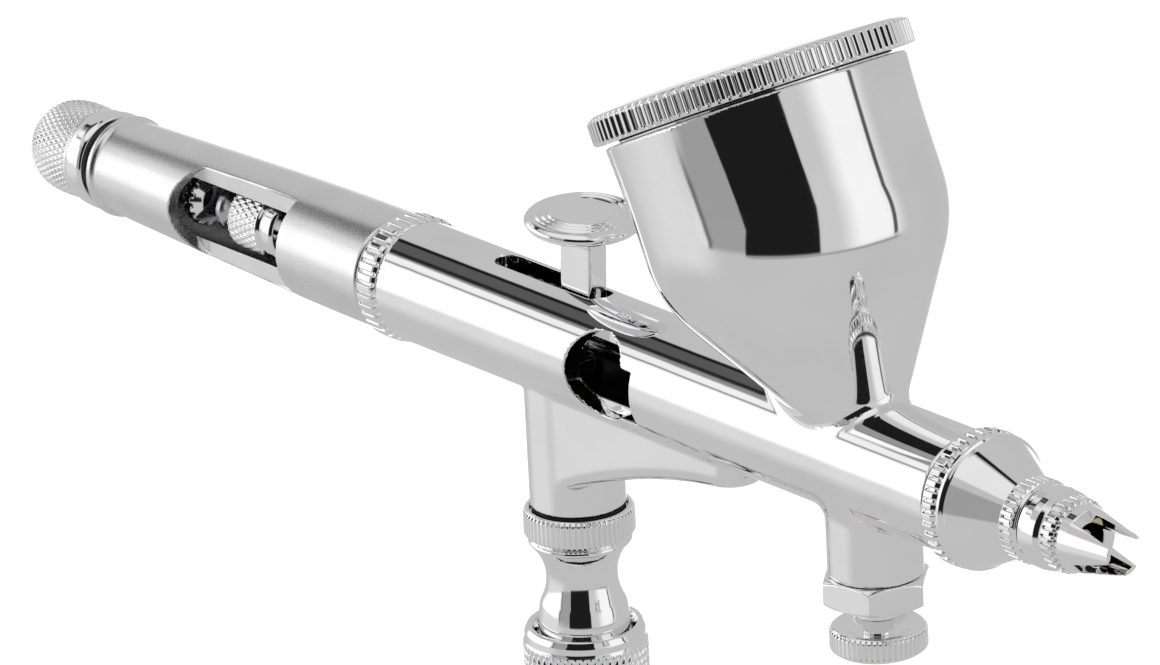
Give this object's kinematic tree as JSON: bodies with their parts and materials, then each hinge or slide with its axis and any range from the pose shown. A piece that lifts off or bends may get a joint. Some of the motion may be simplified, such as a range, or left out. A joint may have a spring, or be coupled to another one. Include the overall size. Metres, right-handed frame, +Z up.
{
  "type": "airbrush gun",
  "caption": "Gravity-feed double-action airbrush with a tilted paint cup, thumb-lever trigger, cutaway handle, forked needle cap and quick coupler for the air hose.",
  "frame": {"origin": "centre of the air inlet face, at the lower end of the hose thread", "axes": "+Z up along the air valve, +X along the barrel towards the nozzle, +Y to the left side of the gun"},
  "size_m": [0.1639, 0.0316, 0.098],
  "materials": {
    "chrome": "mirror polished plating",
    "satin": "satin blasted plating",
    "steel": "ground stainless steel",
    "brass": "plated brass",
    "rubber": "black rubber",
    "ptfe": "white PTFE"
  },
  "bodies": {
    "gun": {"body_shell": "chrome", "rear_ring": "chrome", "paint_cup": "chrome", "fluid_nozzle": "brass", "nozzle_seal": "ptfe", "cap_o_ring": "rubber", "needle_packing": "ptfe", "packing_screw": "brass", "aux_pin": "steel", "needle_spring": "steel", "valve_body": "chrome", "valve_washer": "rubber", "plunger_bush": "brass", "plunger_o_ring": "rubber", "valve_spring": "steel", "valve_retainer": "brass", "mac_housing": "chrome", "mac_o_ring": "rubber", "coupler_body": "brass", "coupler_balls": "steel", "coupler_spring": "steel", "coupler_clip": "steel", "coupler_o_ring": "rubber"},
    "lid": {"cup_lid": "chrome", "lid_seal": "rubber"},
    "spray_cap": {"nozzle_cap": "chrome"},
    "crown": {"needle_cap": "chrome"},
    "plunger": {"valve_plunger": "steel", "trigger_pin": "steel"},
    "trigger": {"trigger_lever": "chrome", "trigger_button": "chrome"},
    "rocker": {"aux_lever": "steel"},
    "needle_carrier": {"needle": "steel", "needle_guide": "steel"},
    "nut": {"chuck_nut": "chrome"},
    "tensioner": {"tension_screw": "satin"},
    "handle": {"handle": "satin"},
    "needle_stop": {"stop_knob": "chrome", "stop_tip": "chrome", "knob_o_ring": "rubber"},
    "air_control": {"mac_screw": "chrome"},
    "sleeve": {"coupler_sleeve": "chrome"}
  },
  "joints": [
    {"name": "air_press", "type": "slide", "parent": "gun", "child": "plunger", "axis": [0, 0, -1], "range_m": [0, 0.002], "stiffness_N_per_m": 900, "springref_m": -0.001, "deforming": ["valve_spring"]},
    {"name": "trigger_pull", "type": "hinge", "parent": "plunger", "child": "trigger", "pos_m": [0, 0, 0.0516], "axis": [0, -1, 0], "range_deg": [0, 22], "stiffness_Nm_per_rad": 0.03, "springref_deg": -8.59},
    {"name": "rocker_swing", "type": "hinge", "parent": "gun", "child": "rocker", "pos_m": [-0.0012, 0, 0.0544], "axis": [0, -1, 0], "range_deg": [0, 24.2]},
    {"name": "needle_pull", "type": "slide", "parent": "gun", "child": "needle_carrier", "axis": [-1, 0, 0], "range_m": [0, 0.0022], "deforming": ["needle_spring"]},
    {"name": "chuck_turn", "type": "hinge", "parent": "needle_carrier", "child": "nut", "pos_m": [-0.047, 0, 0.057], "axis": [1, 0, 0], "range_deg": [0, 360]},
    {"name": "tension_turn", "type": "hinge", "parent": "gun", "child": "tensioner", "pos_m": [-0.03, 0, 0.057], "axis": [1, 0, 0], "range_deg": [-360, 360]},
    {"name": "handle_turn", "type": "hinge", "parent": "gun", "child": "handle", "pos_m": [-0.03, 0, 0.057], "axis": [1, 0, 0], "range_deg": [0, 360]},
    {"name": "needle_stop_turn", "type": "hinge", "parent": "handle", "child": "needle_stop", "pos_m": [-0.08, 0, 0.057], "axis": [1, 0, 0], "range_deg": [-360, 360]},
    {"name": "cap_turn", "type": "hinge", "parent": "gun", "child": "spray_cap", "pos_m": [0.062, 0, 0.057], "axis": [1, 0, 0], "range_deg": [0, 360]},
    {"name": "crown_turn", "type": "hinge", "parent": "spray_cap", "child": "crown", "pos_m": [0.072, 0, 0.057], "axis": [1, 0, 0], "range_deg": [0, 360]},
    {"name": "lid_lift", "type": "slide", "parent": "gun", "child": "lid", "axis": [-0.4305, 0, 0.9026], "range_m": [0, 0.03]},
    {"name": "air_control_turn", "type": "hinge", "parent": "gun", "child": "air_control", "pos_m": [0.0446, 0, 0.04], "axis": [0, 0, 1], "range_deg": [0, 360]},
    {"name": "coupler_release", "type": "slide", "parent": "gun", "child": "sleeve", "axis": [0, 0, -1], "range_m": [0, 0.0025], "stiffness_N_per_m": 700, "springref_m": -0.001, "deforming": ["coupler_spring"]}
  ],
  "couplings": [
    {"joint": "rocker_swing", "follows": "trigger_pull", "ratio": 1.095},
    {"joint": "needle_pull", "follows": "trigger_pull", "m_per_rad": 0.0057}
  ]
}
